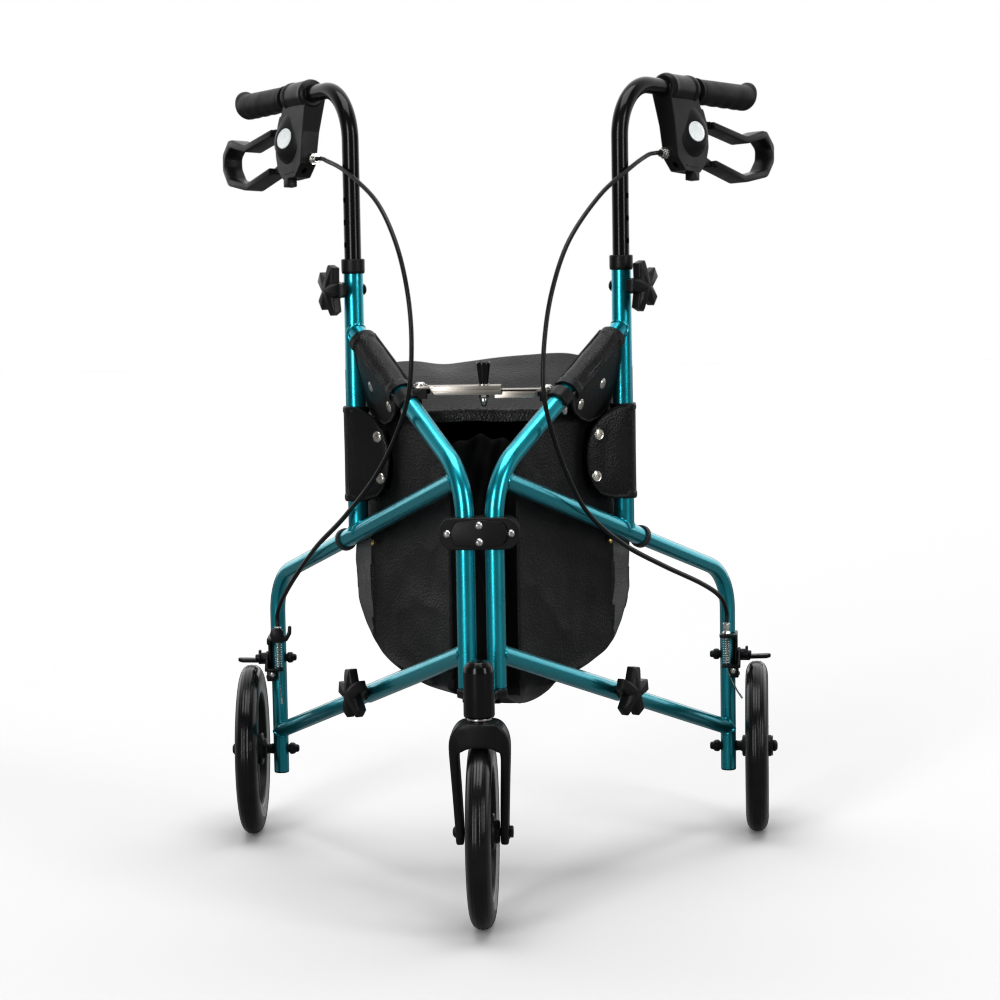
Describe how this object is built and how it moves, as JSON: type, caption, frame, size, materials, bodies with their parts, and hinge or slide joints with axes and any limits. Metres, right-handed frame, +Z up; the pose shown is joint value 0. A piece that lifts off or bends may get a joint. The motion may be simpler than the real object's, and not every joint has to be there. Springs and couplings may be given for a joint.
{
  "type": "three-wheel rollator",
  "caption": "Folding wheeled walking aid with splayed side frames, a swivelling front wheel, loop brakes, sliding handles and a bag hung between the frames.",
  "frame": {"origin": "on the floor under the middle of the whole object", "axes": "+Z up, the front wheel at -Y, the right side frame as seen from the front at +X"},
  "size_m": [0.66, 0.6564, 0.9002],
  "materials": {
    "teal_paint": "metallic gloss",
    "black_paint": "gloss",
    "black_plastic": "satin",
    "grip_rubber": "matte",
    "tyre_rubber": "satin",
    "steel": "zinc plated",
    "vinyl": "grained",
    "cable_jacket": "smooth"
  },
  "bodies": {
    "head": {"clamp_front": "black_plastic", "clamp_back": "black_plastic", "head_bolts": "steel", "caster_housing": "black_plastic", "bag_body": "vinyl"},
    "left_frame": {"left_front_tube": "teal_paint", "left_post_tube": "teal_paint", "left_mid_rail": "teal_paint", "left_lower_rail": "teal_paint", "left_rear_leg": "teal_paint", "left_tube_collars": "black_plastic", "left_knob_bolts": "steel", "left_spreader_bracket": "black_plastic", "left_brake_cable": "cable_jacket", "left_brake_bracket": "steel", "left_brake_spring": "steel", "left_wheel_axle": "steel", "left_bag_straps": "vinyl"},
    "right_frame": {"right_front_tube": "teal_paint", "right_post_tube": "teal_paint", "right_mid_rail": "teal_paint", "right_lower_rail": "teal_paint", "right_rear_leg": "teal_paint", "right_tube_collars": "black_plastic", "right_knob_bolts": "steel", "right_spreader_bracket": "black_plastic", "right_brake_cable": "cable_jacket", "right_brake_bracket": "steel", "right_brake_spring": "steel", "right_wheel_axle": "steel", "right_bag_straps": "vinyl"},
    "left_link": {"left_spreader_link": "steel", "spreader_knob": "black_plastic"},
    "right_link": {"right_spreader_link": "steel", "spreader_nut": "steel"},
    "caster": {"caster_fork": "black_plastic", "front_axle": "steel"},
    "front_wheel": {"front_rim": "black_plastic", "front_tyre": "tyre_rubber"},
    "left_wheel": {"left_wheel_rim": "black_plastic", "left_wheel_tyre": "tyre_rubber"},
    "left_handle": {"left_handle_tube": "black_paint", "left_grip": "grip_rubber", "left_brake_housing": "black_plastic", "left_cable_adjuster": "steel"},
    "left_lever": {"left_brake_lever": "black_plastic"},
    "left_brake": {"left_brake_arm": "black_plastic"},
    "left_post_knob": {"left_post_knob": "black_plastic"},
    "left_rail_knob": {"left_rail_knob": "black_plastic"},
    "right_wheel": {"right_wheel_rim": "black_plastic", "right_wheel_tyre": "tyre_rubber"},
    "right_handle": {"right_handle_tube": "black_paint", "right_grip": "grip_rubber", "right_brake_housing": "black_plastic", "right_cable_adjuster": "steel"},
    "right_lever": {"right_brake_lever": "black_plastic"},
    "right_brake": {"right_brake_arm": "black_plastic"},
    "right_post_knob": {"right_post_knob": "black_plastic"},
    "right_rail_knob": {"right_rail_knob": "black_plastic"},
    "bag_lid": {"bag_lid": "vinyl"}
  },
  "joints": [
    {"name": "left_fold", "type": "hinge", "parent": "head", "child": "left_frame", "pos_m": [-0.0155, -0.18485, 0.3], "axis": [0, 0, -1], "range_deg": [0, 25.7], "deforming": ["bag_body", "bag_lid"]},
    {"name": "right_fold", "type": "hinge", "parent": "head", "child": "right_frame", "pos_m": [0.0155, -0.18485, 0.3], "axis": [0, 0, 1], "range_deg": [0, 25.7]},
    {"name": "left_link_turn", "type": "hinge", "parent": "left_frame", "child": "left_link", "pos_m": [-0.06915, -0.06754, 0.557], "axis": [0, 0, -1], "range_deg": [0, 55]},
    {"name": "right_link_turn", "type": "hinge", "parent": "right_frame", "child": "right_link", "pos_m": [0.06915, -0.06754, 0.557], "axis": [0, 0, 1], "range_deg": [0, 55]},
    {"name": "caster_swivel", "type": "hinge", "parent": "head", "child": "caster", "pos_m": [0, -0.25085, 0.25], "axis": [0, 0, 1], "continuous": true},
    {"name": "front_wheel_spin", "type": "hinge", "parent": "caster", "child": "front_wheel", "pos_m": [0, -0.22685, 0.1015], "axis": [1, 0, 0], "continuous": true},
    {"name": "left_wheel_spin", "type": "hinge", "parent": "left_frame", "child": "left_wheel", "pos_m": [-0.27035, 0.22779, 0.1015], "axis": [0.999, 0.0436, 0], "continuous": true},
    {"name": "left_handle_slide", "type": "slide", "parent": "left_frame", "child": "left_handle", "axis": [0, 0, 1], "range_m": [-0.1, 0.05], "deforming": ["left_brake_cable"]},
    {"name": "left_lever_squeeze", "type": "hinge", "parent": "left_handle", "child": "left_lever", "pos_m": [-0.22148, 0.14867, 0.832], "axis": [0.8508, 0.5255, 0], "range_deg": [0, 7], "stiffness_Nm_per_rad": 2, "springref_deg": -11.46},
    {"name": "left_brake_turn", "type": "hinge", "parent": "left_frame", "child": "left_brake", "pos_m": [-0.27035, 0.22779, 0.213], "axis": [-0.999, -0.0436, 0], "range_deg": [0, 6.5], "deforming": ["left_brake_spring"]},
    {"name": "left_post_knob_turn", "type": "hinge", "parent": "left_frame", "child": "left_post_knob", "pos_m": [-0.16023, 0.02665, 0.662], "axis": [-0.8508, -0.5255, 0], "continuous": true},
    {"name": "left_rail_knob_turn", "type": "hinge", "parent": "left_frame", "child": "left_rail_knob", "pos_m": [-0.14447, 0.00113, 0.20982], "axis": [-0.8508, -0.5255, 0], "continuous": true},
    {"name": "right_wheel_spin", "type": "hinge", "parent": "right_frame", "child": "right_wheel", "pos_m": [0.27035, 0.22779, 0.1015], "axis": [0.999, -0.0436, 0], "continuous": true},
    {"name": "right_handle_slide", "type": "slide", "parent": "right_frame", "child": "right_handle", "axis": [0, 0, 1], "range_m": [-0.1, 0.05], "deforming": ["right_brake_cable"]},
    {"name": "right_lever_squeeze", "type": "hinge", "parent": "right_handle", "child": "right_lever", "pos_m": [0.22148, 0.14867, 0.832], "axis": [0.8508, -0.5255, 0], "range_deg": [0, 7], "stiffness_Nm_per_rad": 2, "springref_deg": -11.46},
    {"name": "right_brake_turn", "type": "hinge", "parent": "right_frame", "child": "right_brake", "pos_m": [0.27035, 0.22779, 0.213], "axis": [-0.999, 0.0436, 0], "range_deg": [0, 6.5], "deforming": ["right_brake_spring"]},
    {"name": "right_post_knob_turn", "type": "hinge", "parent": "right_frame", "child": "right_post_knob", "pos_m": [0.16023, 0.02665, 0.662], "axis": [0.8508, -0.5255, 0], "continuous": true},
    {"name": "right_rail_knob_turn", "type": "hinge", "parent": "right_frame", "child": "right_rail_knob", "pos_m": [0.14447, 0.00113, 0.20982], "axis": [0.8508, -0.5255, 0], "continuous": true},
    {"name": "bag_lid_lift", "type": "hinge", "parent": "head", "child": "bag_lid", "pos_m": [0, 0.06149, 0.57726], "axis": [-1, 0, 0], "range_deg": [0, 100]}
  ],
  "couplings": [
    {"joint": "right_fold", "follows": "left_fold", "ratio": 1},
    {"joint": "left_link_turn", "follows": "left_fold", "ratio": 2.0814},
    {"joint": "right_link_turn", "follows": "left_fold", "ratio": 2.0814},
    {"joint": "left_brake_turn", "follows": "left_lever_squeeze", "ratio": 0.92},
    {"joint": "right_brake_turn", "follows": "right_lever_squeeze", "ratio": 0.92}
  ]
}
